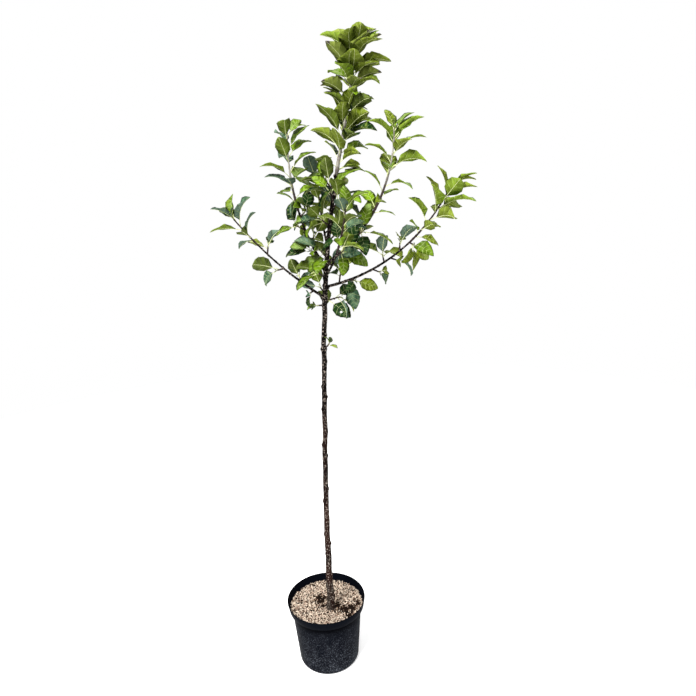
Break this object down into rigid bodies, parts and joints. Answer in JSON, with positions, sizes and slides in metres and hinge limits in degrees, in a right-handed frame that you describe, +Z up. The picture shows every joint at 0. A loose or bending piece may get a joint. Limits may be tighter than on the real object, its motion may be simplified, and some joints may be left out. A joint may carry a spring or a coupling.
{
  "type": "potted apple tree",
  "caption": "Young apple tree with a slender leaning trunk, spreading leafy boughs and a leafy leader, standing in a round black nursery pot with pale top dressing.",
  "frame": {"origin": "centre of the flat underside of the pot, where it stands on the ground", "axes": "+Z up along the plant's height, +X towards the side of the low right bough, -Y towards the front of the tree"},
  "size_m": [0.789, 0.4517, 2.1046],
  "materials": {
    "pot": "satin black with dust",
    "compost": "rough",
    "top_dressing": "rough granules",
    "bark": "rough",
    "foliage": "satin"
  },
  "bodies": {
    "root": {"back_shoot": "foliage", "back_spur_1": "foliage", "back_spur_2": "foliage", "bough_back": "bark", "bough_front": "bark", "bough_left": "bark", "bough_low_left": "bark", "bough_low_right": "bark", "bough_right": "bark", "compost": "compost", "front_shoot": "foliage", "front_spur_1": "foliage", "front_spur_2": "foliage", "fruit_spur": "foliage", "leader_foot": "foliage", "leader_tip": "foliage", "left_shoot": "foliage", "left_spur_1": "foliage", "left_spur_2": "foliage", "left_spur_3": "foliage", "left_spur_4": "foliage", "low_left_shoot": "foliage", "low_left_spur_1": "foliage", "low_left_spur_2": "foliage", "low_left_spur_3": "foliage", "low_left_spur_4": "foliage", "low_right_shoot": "foliage", "low_right_spur_1": "foliage", "low_right_spur_2": "foliage", "low_right_spur_3": "foliage", "low_right_spur_4": "foliage", "low_right_spur_5": "foliage", "low_right_spur_6": "foliage", "low_right_spur_7": "foliage", "pot": "pot", "right_shoot": "foliage", "right_spur_1": "foliage", "right_spur_2": "foliage", "right_spur_3": "foliage", "right_spur_4": "foliage", "top_dressing": "top_dressing", "trunk": "bark", "trunk_sprout": "foliage", "trunk_spur_1": "foliage", "trunk_spur_10": "foliage", "trunk_spur_11": "foliage", "trunk_spur_12": "foliage", "trunk_spur_2": "foliage", "trunk_spur_3": "foliage", "trunk_spur_4": "foliage", "trunk_spur_5": "foliage", "trunk_spur_6": "foliage", "trunk_spur_7": "foliage", "trunk_spur_8": "foliage", "trunk_spur_9": "foliage"}
  },
  "joints": []
}
